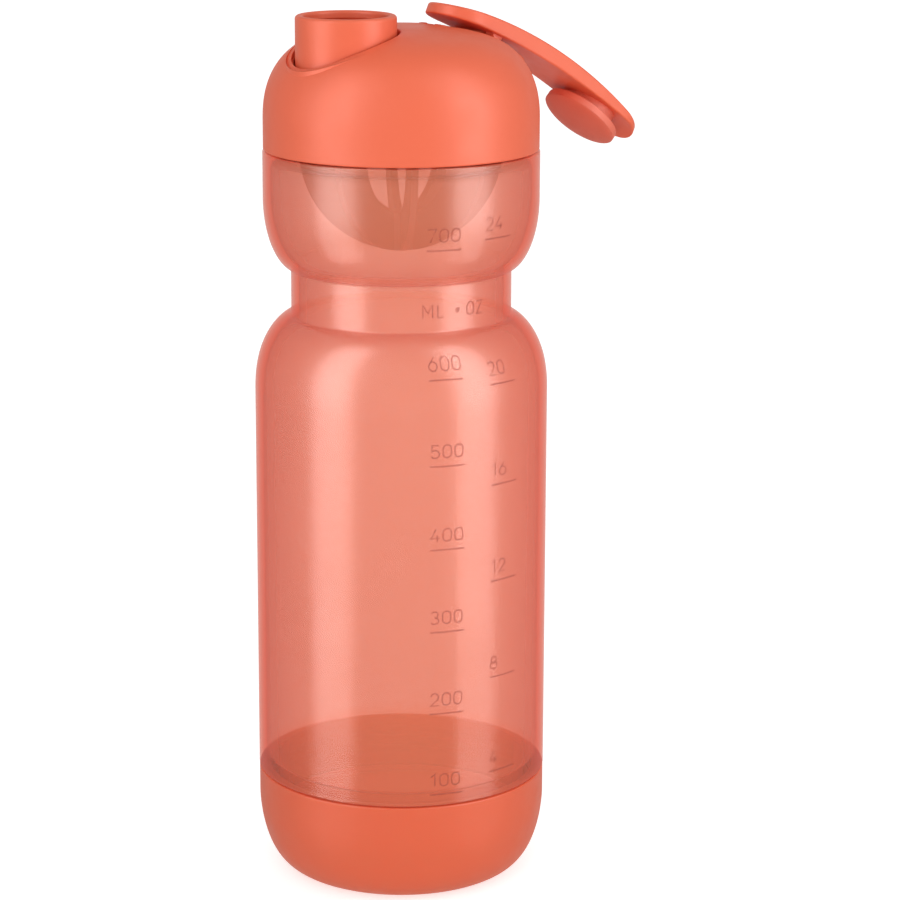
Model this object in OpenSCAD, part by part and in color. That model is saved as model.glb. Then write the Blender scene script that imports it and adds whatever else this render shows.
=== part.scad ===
// Drinking bottle with a screw-on base cup, a screw-on domed lid, a drinking
// spout, a hanging mixer and a swivelling closure arm that carries a stopper.
// Millimetres, +Z up. The origin is the centre of the base cup's flat
// underside, and the spout stands on the -X side. The arm is drawn open,
// turned over the +X side.

/* [Body] */
// Radius of the straight main wall
body_r = 39.5; // [36:0.5:42]
// Thickness of the moulded wall
wall = 2.1; // [1.8:0.1:2.4]
// Radius of the waist between the main wall and the upper bulge
waist_r = 29.6; // [28.5:0.1:30.5]
// Radius of the upper bulge and of the lid
upper_r = 36.95; // [36.4:0.05:37.4]
// Height of the lower edge of the lid
seam_z = 200.8; // [196:0.2:206]

/* [Base cup] */
// Height of the base cup's rim
cup_h = 29.2; // [27:0.2:32]
// Radius of the flat underside
foot_r = 22; // [18:1:26]

/* [Lid] */
// Height of the dome above the seam
dome_h = 32.1; // [30:0.1:34]
// Outer radius of the drinking spout
spout_r = 13.3; // [12.5:0.1:13.6]
// Distance of the spout from the bottle's axis
spout_x = 17.9; // [17:0.1:18.5]
// Height of the spout's rim above the seam
spout_h = 36.2; // [35.5:0.1:37]

/* [Mixer] */
// Number of mixing fins
fins = 8; // [6:1:10]
// Thickness of a fin
fin_t = 1.8; // [1.4:0.1:2.4]
// Turn of the first fin from +X
fin_turn = 16; // [0:1:44]

/* [Closure arm] */
// Distance of the swivel axis from the bottle's axis, on the dome
pivot_x = 25.7; // [25:0.1:26.5]
// Tilt of the swivel axis from vertical
swivel_tilt = 25.4; // [24:0.1:26.5]
// Angle that the arm rocks between raised and pressed down
rock = 8; // [7:0.5:9]
// Half width of the arm
arm_r = 10; // [9:0.5:11]
// Length of the arm from end to end
arm_l = 77; // [70:0.2:78]

/* [Hidden] */
$fn = 96;

coral = [0.93, 0.44, 0.33];
frosted = [0.96, 0.66, 0.58, 0.55];
silicone = [0.86, 0.40, 0.32];
steel = [0.75, 0.76, 0.78];

gap = 0.3;          // between parts that move past each other
seat = 0.1;         // beside a soft seal
steps = 24;         // points along a moulded curve

// Threads: parallel ridges that clear each other
ridge_w = 1.6;
ridge_pitch = 3.0;

// Lower neck, inside the base cup
cup_r = body_r - 0.1;
low_neck_r = 36.2;
low_neck_in = 33.9;
low_neck_z = 15.2;
low_crest = 0.5;
cup_bore = 37.4;
cup_floor = 3.4;
low_ridge_z = 18.6;
cup_corner_h = 21.2;

// Body heights
body_z = cup_h + gap;
shoulder_low = 135.5;
shoulder_top = 156.5;
bulge_low = 168.8;
bulge_top = 188.2;
body_top = seam_z - gap;

// Upper neck, inside the lid
neck_r = 31.6;
neck_in = 29.4;
neck_top = seam_z + 8.2;
neck_crest = 0.6;
neck_ridge_z = seam_z + 1.4;

// Lid
lid_r = upper_r - 0.2;
lid_wall = 2.0;
lid_in = lid_r - lid_wall;
dome_low = seam_z + 7.7;
dome_top = seam_z + dome_h;
skirt_bore = 33.0;
roof_low = neck_top + 1.4;
roof_top = roof_low + 2.2;
plug_in = 27.3;
plug_out = 29.0;
rim_z = seam_z + spout_h;
lip_r = spout_r - 2.2;
bore_r = spout_r - 1.6;
lip_h = 2.0;
well_r = spout_r + 0.9;
collar_r = well_r + 1.5;

// Mixer
mix_r = plug_in;
ring_w = 2.0;
void_r = 16.2;
void_h = 17.6;
core_r = 4.6;

// Pivot, measured from the dome's surface along the swivel axis
pocket_r = 14.5;
pocket_h = 3.2;
floor_t = 2.2;
boss_r = pocket_r + 1.5;
hub_r = 8.2;
hub_t = 1.2;
post_r = 4.5;
post_hole = post_r + 0.06;
post_l = 8.4;
groove_r = 3.5;
clip_r = 7.2;
clip_t = 1.15;
pin_h = 0.6;
pin_r = 0.9;
pin_l = 16.4;
knuckle_w = 9.6;
knuckle_r = 1.9;

// Arm: a plate between two arcs, seen from the side
top_r = 142;
top_x = 9;
top_h = 4.65;
under_r = 235;
under_x = 5;
under_h = 0.3;
tip_r = 60;
tip_x = 33;
tip_h = -1;
tip_from = 46;
tail_x = -16.6;
slot_w = knuckle_w + 0.8;
slot_x = 2.7;
slot_h = 3.0;

// Stopper, measured from the spout's rim along the spout
band_r = lip_r - 0.45;
band_low = -2.3;
band_top = -0.3;
bulb_h = 2.2;
stem_r = 7.8;
core_pin_r = 5.5;
stopper_top = 9;

// Superellipse corner from [r0, z0], where it runs level, to [r1, z1], where it is upright
function corner(r0, z0, r1, z1, n, m) = [for (i = [0:steps]) let (a = 90 * i / steps)
    [r0 + (r1 - r0) * pow(sin(a), 2 / n), z0 + (z1 - z0) * (1 - pow(cos(a), 2 / m))]];
function flip(points) = [for (i = [len(points) - 1:-1:0]) points[i]];
function dome_z(x) = dome_low + (dome_top - dome_low) * pow(1 - pow(x / lid_r, 3.3), 1 / 2.34);

pivot_z = dome_z(pivot_x);

module turned(points) rotate_extrude() polygon(points);

module ring(outer, inner, low, high)
    translate([0, 0, low]) difference() {
        cylinder(r = outer, h = high - low);
        translate([0, 0, -1]) cylinder(r = inner, h = high - low + 2);
    }

// Ridges of a thread, from the wall at r0 out or in to the crest at r1
module ridges(r0, r1, low, count)
    for (i = [0:count - 1]) translate([0, 0, low + i * ridge_pitch])
        turned(r1 > r0
            ? [[r0 - 0.4, 0], [r0, 0], [r1, 0.5], [r1, ridge_w - 0.5], [r0, ridge_w], [r0 - 0.4, ridge_w]]
            : [[r0 + 0.4, 0], [r0, 0], [r1, 0.5], [r1, ridge_w - 0.5], [r0, ridge_w], [r0 + 0.4, ridge_w]]);

module on_swivel() translate([pivot_x, 0, pivot_z]) rotate([0, swivel_tilt, 0]) children();

// The spout's frame as the open, raised arm carries it, with its origin at the spout's rim
module at_stopper() {
    dx = -spout_x - pivot_x;
    dz = rim_z - pivot_z;
    away = -(dx * cos(swivel_tilt) - dz * sin(swivel_tilt));
    up = dx * sin(swivel_tilt) + dz * cos(swivel_tilt);
    on_swivel() translate([0, 0, pin_h]) rotate([0, -rock, 0]) translate([away, 0, up - pin_h])
        rotate([0, swivel_tilt, 0]) children();
}

module base_cup() color(coral) union() {
    turned(concat(
        [[0, 0]], corner(foot_r, 0, cup_r, cup_corner_h, 3.67, 1.70),
        [[cup_r, cup_h - 0.7], [cup_r - 0.2, cup_h - 0.2], [cup_r - 0.7, cup_h], [cup_bore, cup_h],
         [cup_bore, low_neck_z - 1.7], [low_neck_in, low_neck_z - 1.7]],
        flip(corner(18, cup_floor, low_neck_in, 14 - 0.9, 3.0, 1.8)), [[0, cup_floor]]));
    ridges(cup_bore, cup_bore - 0.35, low_ridge_z + ridge_pitch / 2, 3);
}

module base_seal() color(silicone)
    ring(low_neck_r + 0.8, low_neck_in + 0.1, low_neck_z - 1.7 + seat, low_neck_z - seat);

module bottle_body() color(frosted) union() {
    turned(concat(
        [[low_neck_in, low_neck_z], [low_neck_r - 0.5, low_neck_z], [low_neck_r, low_neck_z + 0.5],
         [low_neck_r, body_z], [body_r - 0.5, body_z], [body_r, body_z + 0.5]],
        flip(corner(waist_r, shoulder_top, body_r, shoulder_low, 1.542, 2.313)),
        corner(waist_r, bulge_low, upper_r, bulge_top, 1.66, 2.126),
        [[upper_r, body_top - 0.7], [upper_r - 0.2, body_top - 0.2], [upper_r - 0.7, body_top],
         [neck_r, body_top], [neck_r, neck_top - 0.5], [neck_r - 0.5, neck_top], [neck_in, neck_top],
         [neck_in, body_top - wall - 1], [upper_r - wall - 1.5, body_top - wall - 1],
         [upper_r - wall, body_top - wall - 2.5]],
        flip(corner(waist_r - wall, bulge_low + 1.4, upper_r - wall, bulge_top + 1.4, 1.66, 2.126)),
        corner(waist_r - wall, shoulder_top - 1.5, body_r - wall, shoulder_low - 1.5, 1.542, 2.313),
        [[body_r - wall, body_z + 4.2], [body_r - wall - 0.6, body_z + 2.7], [low_neck_in, body_z + 1.2]]));
    ridges(low_neck_r, low_neck_r + low_crest, low_ridge_z, 3);
    ridges(neck_r, neck_r + neck_crest, neck_ridge_z, 2);
}

module lid_seal() color(silicone) ring(neck_r - 0.1, neck_in + 0.1, neck_top + seat, roof_low - seat);

module lid_core() color(coral) difference() {
    union() {
        ring(lid_in, skirt_bore, seam_z + 0.6, dome_low);
        ring(lid_in - 0.35, skirt_bore, dome_low - 1, roof_low + 0.2);
        translate([0, 0, roof_low]) cylinder(r = lid_in - 0.35, h = roof_top - roof_low);
        ring(plug_out, plug_in, seam_z + 2.2, roof_low + 0.2);
        ridges(skirt_bore, skirt_bore - 0.45, neck_ridge_z + ridge_pitch / 2, 2);
        translate([-spout_x, 0, 0]) turned([[0, roof_low], [spout_r, roof_low], [spout_r, rim_z - 0.6],
            [spout_r - 0.18, rim_z - 0.18], [spout_r - 0.6, rim_z], [0, rim_z]]);
    }
    translate([-spout_x, 0, roof_low - 1]) cylinder(r = bore_r, h = rim_z - lip_h - roof_low + 1);
    translate([-spout_x, 0, rim_z - lip_h - 1]) cylinder(r = lip_r, h = lip_h + 2);
}

module dome_solid()
    turned(concat([[0, seam_z], [lid_r - 0.4, seam_z], [lid_r, seam_z + 0.4]],
        flip(corner(0, dome_top, lid_r, dome_low, 3.3, 2.34))));

module dome_hollow()
    turned(concat([[0, seam_z - 1], [lid_in, seam_z - 1]],
        flip(corner(0, dome_top - lid_wall, lid_in, dome_low, 3.3, 2.34))));

module dome_cover() color(coral) difference() {
    union() {
        difference() {
            dome_solid();
            dome_hollow();
        }
        intersection() {
            dome_solid();
            union() {
                translate([-spout_x, 0, roof_top]) cylinder(r = collar_r, h = 30);
                on_swivel() translate([0, 0, -pocket_h - floor_t]) cylinder(r = boss_r, h = 12);
            }
        }
    }
    translate([-spout_x, 0, roof_top - 1]) cylinder(r = well_r, h = 40);
    on_swivel() translate([0, 0, -pocket_h]) cylinder(r = pocket_r, h = 20);
    on_swivel() translate([0, 0, -pocket_h - floor_t - 1]) cylinder(r = post_hole, h = 10);
}

module mixer() color(coral) union() {
    ring(mix_r, mix_r - ring_w, seam_z, roof_low - 2);
    difference() {
        intersection() {
            union() {
                for (i = [0:fins - 1]) rotate([0, 0, fin_turn + i * 360 / fins])
                    translate([0, -fin_t / 2, seam_z - mix_r]) cube([mix_r, fin_t, mix_r + 0.2]);
                translate([0, 0, seam_z - mix_r]) cylinder(r = core_r, h = mix_r);
            }
            union() {
                translate([0, 0, seam_z]) sphere(r = mix_r);
                translate([0, 0, seam_z]) cylinder(r = mix_r, h = 1);
            }
        }
        turned(concat([[0, seam_z + 1], [void_r, seam_z + 1]],
            flip(corner(0, seam_z - void_h, void_r, seam_z, 2, 2))));
    }
}

module pivot_hub() color(coral) on_swivel() difference() {
    union() {
        translate([0, 0, gap - pocket_h]) cylinder(r = hub_r, h = hub_t);
        translate([0, 0, gap - pocket_h - post_l + 2.9]) cylinder(r = post_r, h = post_l - 2.8);
        translate([-knuckle_r, -knuckle_w / 2, -2]) cube([2 * knuckle_r, knuckle_w, pin_h + 2]);
        translate([0, knuckle_w / 2, pin_h]) rotate([90, 0, 0]) cylinder(r = knuckle_r, h = knuckle_w);
    }
    translate([0, pin_l / 2, pin_h]) rotate([90, 0, 0]) cylinder(r = pin_r + 0.06, h = pin_l);
    translate([0, 0, -pocket_h - floor_t - gap - clip_t - 0.05])
        ring(post_r + 1, groove_r, 0, clip_t + 0.1);
}

module hub_clip() color(steel) on_swivel()
    translate([0, 0, -pocket_h - floor_t - gap - clip_t]) difference() {
        ring(clip_r, groove_r, 0, clip_t);
        translate([0, -2.4, -1]) cube([clip_r + 1, 4.8, clip_t + 2]);
    }

module arm_outline() {
    near = tail_x + arm_r;
    far = tail_x + arm_l - arm_r;
    translate([near, 0, -20]) cylinder(r = arm_r, h = 40);
    translate([far, 0, -20]) cylinder(r = arm_r, h = 40);
    translate([near, -arm_r, -20]) cube([far - near, 2 * arm_r, 40]);
}

// Cylinder across the arm that bounds it above or below
module arc_drum(r, x, h) translate([x, 20, h - r]) rotate([90, 0, 0]) cylinder(r = r, h = 40, $fn = 360);

module arm_slab() intersection() {
    union() arm_outline();
    arc_drum(top_r, top_x, top_h);
}

// The plate, with a fuller underside at its tip
module arm_plate() union() {
    difference() {
        arm_slab();
        arc_drum(under_r, under_x, under_h);
    }
    difference() {
        intersection() {
            arm_slab();
            translate([tip_from, -20, -30]) cube([40, 40, 60]);
        }
        arc_drum(tip_r, tip_x, tip_h);
    }
}

module closure_arm() color(coral) on_swivel() difference() {
    union() {
        arm_plate();
        for (s = [-1, 1]) translate([0, s * (slot_w / 2 + 1.7) + 1.7, pin_h]) {
            rotate([90, 0, 0]) cylinder(r = knuckle_r, h = 3.4);
            translate([-knuckle_r, -3.4, 0]) cube([2 * knuckle_r, 3.4, 1.5]);
        }
    }
    translate([-slot_x, -slot_w / 2, -4]) cube([2 * slot_x, slot_w, slot_h + 4]);
    translate([0, pin_l / 2, pin_h]) rotate([90, 0, 0]) cylinder(r = pin_r, h = pin_l);
}

module hinge_pin() color(steel) on_swivel()
    translate([0, pin_l / 2, pin_h]) rotate([90, 0, 0]) cylinder(r = pin_r, h = pin_l);

// Keeps only what lies below the arm's underside
module below_arm() intersection() {
    children();
    on_swivel() arc_drum(under_r, under_x, under_h);
}

module stopper_core() color(coral) below_arm()
    at_stopper() translate([0, 0, band_low + 0.6]) cylinder(r = core_pin_r, h = stopper_top);

module stopper_seal() color(silicone) below_arm() at_stopper() difference() {
    turned(concat([[0, band_low - bulb_h]],
        corner(0, band_low - bulb_h, band_r, band_low, 2, 1.6),
        [[band_r, band_top - 0.5], [band_r - 0.5, band_top], [stem_r, band_top], [stem_r, stopper_top],
         [0, stopper_top]]));
    translate([0, 0, band_low + 0.6]) cylinder(r = core_pin_r, h = 20);
}

base_cup();
base_seal();
bottle_body();
lid_seal();
lid_core();
dome_cover();
mixer();
pivot_hub();
hub_clip();
closure_arm();
hinge_pin();
stopper_core();
stopper_seal();
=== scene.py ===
"""Drinking bottle: moulded walls, lid, closure arm, printed scale, finishes and studio.

Every shape is a numpy surface in millimetres in the frame of the CAD model: +Z runs up the
bottle, -X points to the spout and +X to the open closure arm. Meshes are stored in metres.
"""

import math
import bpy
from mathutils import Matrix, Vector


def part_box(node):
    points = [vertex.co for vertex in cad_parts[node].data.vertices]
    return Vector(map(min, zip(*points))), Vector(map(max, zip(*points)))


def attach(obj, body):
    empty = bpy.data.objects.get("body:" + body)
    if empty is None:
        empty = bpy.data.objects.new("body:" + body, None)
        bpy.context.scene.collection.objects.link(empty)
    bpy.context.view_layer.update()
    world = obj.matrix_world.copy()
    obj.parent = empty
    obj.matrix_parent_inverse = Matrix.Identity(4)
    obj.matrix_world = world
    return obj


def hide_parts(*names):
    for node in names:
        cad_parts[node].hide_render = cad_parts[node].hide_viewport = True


bl_info = {
    "name": "Drinking Bottle",
    "version": (1, 0, 0),
    "blender": (4, 5, 0),
    "location": "3D View > Sidebar > Bottle",
    "description": "Builds the walls, lid, arm, printed scale and finishes of a drinking bottle",
    "category": "Object",
}

import bmesh
import bpy
import numpy as np

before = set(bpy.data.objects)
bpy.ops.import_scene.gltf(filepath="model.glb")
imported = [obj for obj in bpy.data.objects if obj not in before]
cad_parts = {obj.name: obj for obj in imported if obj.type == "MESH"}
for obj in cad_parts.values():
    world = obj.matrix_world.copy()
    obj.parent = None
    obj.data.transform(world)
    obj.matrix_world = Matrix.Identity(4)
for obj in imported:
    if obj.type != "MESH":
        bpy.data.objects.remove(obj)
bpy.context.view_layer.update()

MM = 0.001
TURN = 2 * math.pi


def box_mm(node):
    """Lowest and highest corner of a CAD node at rest, in millimetres, to a twentieth."""
    return [[round(value / MM * 20) / 20 for value in corner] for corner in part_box(node)]


CUP_HIGH = box_mm("base_cup")[1]
BODY_LOW, BODY_HIGH = box_mm("bottle_body")
DOME_LOW, DOME_HIGH = box_mm("dome_cover")
LID_HIGH = box_mm("lid_core")[1]

# Base cup and the neck that stands in it
CUP_H = CUP_HIGH[2]
CUP_FLOOR = 3.4
CUP_BORE = 37.4
CUP_CURVE_H = 21.2
FOOT_R = 22.0
FOOT_NECK_R = 36.2
FOOT_NECK_IN = 33.9
FOOT_NECK_Z = BODY_LOW[2]

# Main wall, shoulder, waist and upper bulge
WALL = 2.1
WALL_LOW = CUP_H + 0.3
SHOULDER = (135.5, 156.5)
BULGE = (168.8, 188.2)
UPPER_R = 36.95

# Lid
SEAM = DOME_LOW[2]
WALL_TOP = SEAM - 0.3
NECK_R = 31.6
NECK_IN = 29.4
NECK_TOP = BODY_HIGH[2]
CURVE_LOW = SEAM + 7.7
CURVE_TOP = DOME_HIGH[2]
ROOF = (NECK_TOP + 1.4, NECK_TOP + 3.6)
SKIRT_BORE = 33.0
PLUG = (27.3, 29.0)
RIM = LID_HIGH[2]
SPOUT_X = -17.9
WELL_GAP = 0.9
LIP_WALL = 2.2
LEAD = 9.0
STARTS = 3

# Pivot: the swivel axis stands on the dome and leans outwards
PIVOT_X = 25.7
TILT = math.radians(25.4)
ROCK = math.radians(8)
POCKET_R = 14.5
POCKET_H = 3.2
POCKET_FLOOR = 2.2
POST_HOLE = 4.56
PIN_H = 0.6

# Arm, along its length from the swivel axis
ARM_NEAR = -6.6
ARM_FAR = 50.4
ARM_TOP_ARC = (142.0, 9, 4.65)
ARM_UNDER_ARC = (235.0, 5, 0.3)
ARM_TIP_ARC = (60.0, 33, -1.0)
ARM_TIP_FROM = 46
SLOT = (2.7, 5.2, 3.0)
BOSS_R = 1.9
BOSS_W = 3.4
STOPPER_BAND = (-2.3, -0.3)
STOPPER_BULB = 2.2
STOPPER_NECK_R = 7.8


# ---------------------------------------------------------------- sizes and colours


class BottleSizes(bpy.types.PropertyGroup):
    """Sizes of the drinking bottle that may be changed before its pieces are built."""

    wall_radius: bpy.props.FloatProperty(
        name="Wall radius", description="Outer radius of the straight main wall",
        default=BODY_HIGH[1] * MM, min=0.030, max=0.050, precision=4, unit="LENGTH")
    waist_radius: bpy.props.FloatProperty(
        name="Waist radius", description="Outer radius of the band between shoulder and bulge",
        default=0.0296, min=0.025, max=0.035, precision=4, unit="LENGTH")
    lid_radius: bpy.props.FloatProperty(
        name="Lid radius", description="Outer radius of the lid's dome and skirt",
        default=DOME_HIGH[1] * MM, min=0.034, max=0.040, precision=4, unit="LENGTH")
    spout_radius: bpy.props.FloatProperty(
        name="Spout radius", description="Outer radius of the drinking spout",
        default=0.0133, min=0.011, max=0.015, precision=4, unit="LENGTH")
    arm_half_width: bpy.props.FloatProperty(
        name="Arm half width", description="Half the width of the closure arm, and its end radius",
        default=0.010, min=0.008, max=0.012, precision=4, unit="LENGTH")
    edge_radius: bpy.props.FloatProperty(
        name="Edge radius", description="Rounding of the moulded edges",
        default=0.0005, min=0.0002, max=0.0010, precision=5, unit="LENGTH")
    digit_height: bpy.props.FloatProperty(
        name="Digit height", description="Height of the numbers of the volume scale",
        default=0.0034, min=0.002, max=0.005, precision=4, unit="LENGTH")
    stroke_width: bpy.props.FloatProperty(
        name="Stroke width", description="Width of a printed stroke of the volume scale",
        default=0.00038, min=0.0002, max=0.0008, precision=5, unit="LENGTH")


class BottleColours(bpy.types.PropertyGroup):
    """Colours and surface grain of the drinking bottle's finishes."""

    coral: bpy.props.FloatVectorProperty(
        name="Coral", description="Lid, arm and base cup", subtype="COLOR", size=3,
        default=(0.84, 0.150, 0.070), min=0, max=1)
    coral_deep: bpy.props.FloatVectorProperty(
        name="Deep coral", description="Slightly deeper tone that drifts over the mouldings",
        subtype="COLOR", size=3, default=(0.76, 0.122, 0.054), min=0, max=1)
    wall: bpy.props.FloatVectorProperty(
        name="Frosted wall", description="Tint of the translucent bottle wall",
        subtype="COLOR", size=3, default=(0.90, 0.25, 0.125), min=0, max=1)
    wall_deep: bpy.props.FloatVectorProperty(
        name="Deep frosted wall", description="Deeper tone of the translucent wall",
        subtype="COLOR", size=3, default=(0.88, 0.23, 0.11), min=0, max=1)
    # Painted shade: the colour that the frosted wall is darkened towards where it is seen edge-on, near
    # its outline.
    wall_edge_shade: bpy.props.FloatVectorProperty(
        name="Frosted wall, edge-on", description="Tone of the translucent wall towards its outline",
        subtype="COLOR", size=3, default=(0.80, 0.09, 0.035), min=0, max=1)
    ink: bpy.props.FloatVectorProperty(
        name="Scale ink", description="Numbers and lines of the volume scale",
        subtype="COLOR", size=3, default=(0.60, 0.110, 0.060), min=0, max=1)
    silicone: bpy.props.FloatVectorProperty(
        name="Soft stopper", description="Silicone of the stopper and the seals",
        subtype="COLOR", size=3, default=(0.78, 0.150, 0.085), min=0, max=1)
    # Painted shade: the mixer's fins get a dark grey that stands in for their shadow inside the bottle.
    mixer: bpy.props.FloatVectorProperty(
        name="Mixer", description="Fins of the mixer inside the neck",
        subtype="COLOR", size=3, default=(0.20, 0.16, 0.17), min=0, max=1)
    grain: bpy.props.FloatProperty(
        name="Grain", description="Size of the fine grain of the moulded surfaces",
        default=0.0004, min=0.0001, max=0.002, precision=5, unit="LENGTH")


# ---------------------------------------------------------------- shape helpers


def curve_corner(r0, z0, r1, z1, n, m, start=0.0, count=56):
    """Superellipse corner: level at (r0, z0) and upright at (r1, z1).

    The radius grows with sin(a)^(2/n) and the height with 1 - cos(a)^(2/m), for an angle a
    that runs from start to a right angle. The third column, the rounding, is zero.
    """
    a = np.linspace(math.radians(start), math.pi / 2, count)
    cosine = np.clip(np.cos(a), 0, 1)
    r = r0 + (r1 - r0) * np.sin(a) ** (2 / n)
    z = z0 + (z1 - z0) * (1 - cosine ** (2 / m))
    return np.stack([r, z, np.zeros(count)], axis=1)


def unit(vector):
    """The vector divided by its length."""
    return vector / np.linalg.norm(vector)


def rounded(points, steps=6):
    """Profile of radius and height whose corners give way to arcs.

    Each row is radius, height and rounding. An arc of that rounding touches both edges of
    the corner, swept as the slerp between its two touching points. A point is set just
    before and after each arc, so that the straight parts stay flat when shaded.
    """
    points = np.asarray(points, float)
    pieces = []
    for here, back, ahead in zip(points, np.roll(points, 1, axis=0), np.roll(points, -1, axis=0)):
        rounding = here[2]
        if rounding == 0:
            pieces.append(here[None, :2])
            continue
        a = unit(back[:2] - here[:2])
        b = unit(ahead[:2] - here[:2])
        half = 0.5 * math.acos(float(np.clip(a @ b, -1, 1)))
        reach = rounding / math.tan(half)
        centre = here[:2] + unit(a + b) * rounding / math.sin(half)
        turn = math.pi - 2 * half
        t = np.linspace(0, 1, steps + 1)[:, None]
        first = here[:2] + a * reach - centre
        last = here[:2] + b * reach - centre
        arc = centre + (np.sin((1 - t) * turn) * first + np.sin(t * turn) * last) / math.sin(turn)
        hold = 0.25 * rounding
        pieces.append(np.vstack([here[:2] + a * (reach + hold), arc, here[:2] + b * (reach + hold)]))
    return np.vstack(pieces)


def rings(centre_x, radius, height, segments=144):
    """Level circles, one for each row: centre on the X axis, radius and height."""
    turn = np.arange(segments) * TURN / segments
    centre_x = np.broadcast_to(centre_x, np.shape(radius))
    x = centre_x[:, None] + radius[:, None] * np.cos(turn)
    y = radius[:, None] * np.sin(turn)
    z = np.broadcast_to(height[:, None], x.shape)
    return np.stack([x, y, z], axis=-1)


def lathe(profile, segments=144, centre_x=0.0):
    """Surface of revolution: the profile's radius and height, turned about an upright axis."""
    return rings(centre_x, profile[:, 0], profile[:, 1], segments)


def thread(wall_r, crest, low, high, start, width=1.6, steps=96):
    """Helical ridge: a trapezium section carried up the helix of the thread's lead.

    The section's depth and width fade to nothing over 8 mm at both ends of the ridge.
    A negative crest stands inwards from the wall.
    """
    s = np.linspace(0, 1, steps)
    climb = high - low - width
    turn = start + TURN * climb / LEAD * s
    centre = low + width / 2 + climb * s
    run = np.minimum(s, 1 - s) * TURN * climb / LEAD * wall_r / 8.0
    fade = np.clip(run, 0, 1)
    fade = fade * fade * (3 - 2 * fade)
    sign = math.copysign(1.0, crest)
    depth = np.array([-0.3 * sign, 0, 0.85 * crest, crest, crest, 0.85 * crest, 0, -0.3 * sign])
    half = width / 2
    offset = np.array([-half, -half, -half + 0.45, -half + 0.6, half - 0.6, half - 0.45, half, half])
    r = wall_r + fade[:, None] * depth
    z = centre[:, None] + fade[:, None] * offset
    return np.stack([r * np.cos(turn)[:, None], r * np.sin(turn)[:, None], z], axis=-1)


def grid_faces(rows, columns, wrap_rows, wrap_columns):
    """Four-sided faces of a grid of points. A wrapped direction closes onto its first line."""
    i = np.arange(rows if wrap_rows else rows - 1)
    j = np.arange(columns if wrap_columns else columns - 1)
    i, j = np.meshgrid(i, j, indexing="ij")
    next_i = (i + 1) % rows
    next_j = (j + 1) % columns
    corners = [i * columns + j, i * columns + next_j, next_i * columns + next_j, next_i * columns + j]
    return np.stack(corners, axis=-1).reshape(-1, 4)


def make_piece(name, sheets, material, body, replaces=(), wall=0.0, sharp=40):
    """One piece from its sheets of grid points in millimetres.

    Each sheet is its points, and whether its rows and its columns wrap round. Doubled
    points are merged, which closes seams and poles, and faces are turned outwards. A wall
    thickness in millimetres is then grown inwards.
    """
    vertices = []
    faces = []
    count = 0
    for points, wrap_rows, wrap_columns in sheets:
        rows, columns = points.shape[:2]
        vertices.append(points.reshape(-1, 3) * MM)
        faces.append(grid_faces(rows, columns, wrap_rows, wrap_columns) + count)
        count += rows * columns
    mesh = bpy.data.meshes.new(name)
    mesh.from_pydata(np.vstack(vertices).tolist(), [], np.vstack(faces).tolist())
    shell = bmesh.new()
    shell.from_mesh(mesh)
    bmesh.ops.remove_doubles(shell, verts=shell.verts, dist=2e-6)
    bmesh.ops.dissolve_degenerate(shell, edges=shell.edges, dist=1e-6)
    bmesh.ops.recalc_face_normals(shell, faces=shell.faces)
    shell.to_mesh(mesh)
    shell.free()
    mesh.shade_smooth()
    mesh.set_sharp_from_angle(angle=math.radians(sharp))
    mesh.materials.append(material)
    piece = bpy.data.objects.new(name, mesh)
    bpy.context.scene.collection.objects.link(piece)
    if wall:
        thicken = piece.modifiers.new("Wall", "SOLIDIFY")
        thicken.thickness = wall * MM
        thicken.offset = -1
    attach(piece, body)
    if replaces:
        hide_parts(*replaces)
    return piece


# ---------------------------------------------------------------- bottle wall


def wall_outside(sizes):
    """Outer profile of the bottle wall from the lower neck to the top of the upper neck."""
    wall_r = sizes.wall_radius / MM
    waist_r = sizes.waist_radius / MM
    edge = sizes.edge_radius / MM
    return np.vstack([
        [[FOOT_NECK_IN, FOOT_NECK_Z, edge], [FOOT_NECK_R, FOOT_NECK_Z, edge],
         [FOOT_NECK_R, WALL_LOW, 0.3], [wall_r, WALL_LOW, edge], [wall_r, WALL_LOW + 4, 0]],
        curve_corner(waist_r, SHOULDER[1], wall_r, SHOULDER[0], 1.542, 2.313, 13)[::-1],
        [[waist_r, SHOULDER[1], 0.7], [waist_r, BULGE[0], 0.7]],
        curve_corner(waist_r, BULGE[0], UPPER_R, BULGE[1], 1.66, 2.126, 13),
        [[UPPER_R, WALL_TOP, edge], [NECK_R, WALL_TOP, 0.3], [NECK_R, NECK_TOP, edge],
         [NECK_IN, NECK_TOP, 0.4]]])


def wall_inside(sizes):
    """Inner profile of the bottle wall from the upper neck down to the lower neck."""
    inner_r = sizes.wall_radius / MM - WALL
    waist_r = sizes.waist_radius / MM - WALL
    upper_r = UPPER_R - WALL
    return np.vstack([
        [[NECK_IN, WALL_TOP - WALL - 1, 0.6], [upper_r, WALL_TOP - WALL - 1, 2.0],
         [upper_r, BULGE[1] + 4, 0]],
        curve_corner(waist_r, BULGE[0] + 1.4, upper_r, BULGE[1] + 1.4, 1.66, 2.126, 13)[::-1],
        [[waist_r, BULGE[0] + 1.4, 0.9], [waist_r, SHOULDER[1] - 1.5, 0.9]],
        curve_corner(waist_r, SHOULDER[1] - 1.5, inner_r, SHOULDER[0] - 1.5, 1.542, 2.313, 13),
        [[inner_r, WALL_LOW + 3.4, 1.4], [FOOT_NECK_IN, WALL_LOW + 1.6, 1.0]]])


def build_body(sizes, material):
    """Frosted wall with both necks and their threads."""
    profile = rounded(np.vstack([wall_outside(sizes), wall_inside(sizes)]))
    sheets = [(lathe(profile, 168), True, True)]
    for start in np.arange(STARTS) * TURN / STARTS:
        sheets.append((thread(FOOT_NECK_R, 0.5, 17.6, 27.6, start), False, True))
        sheets.append((thread(NECK_R, 0.6, SEAM + 1.0, SEAM + 7.4, start), False, True))
    make_piece("bottle_wall", sheets, material, "bottle", ["bottle_body"])


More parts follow.
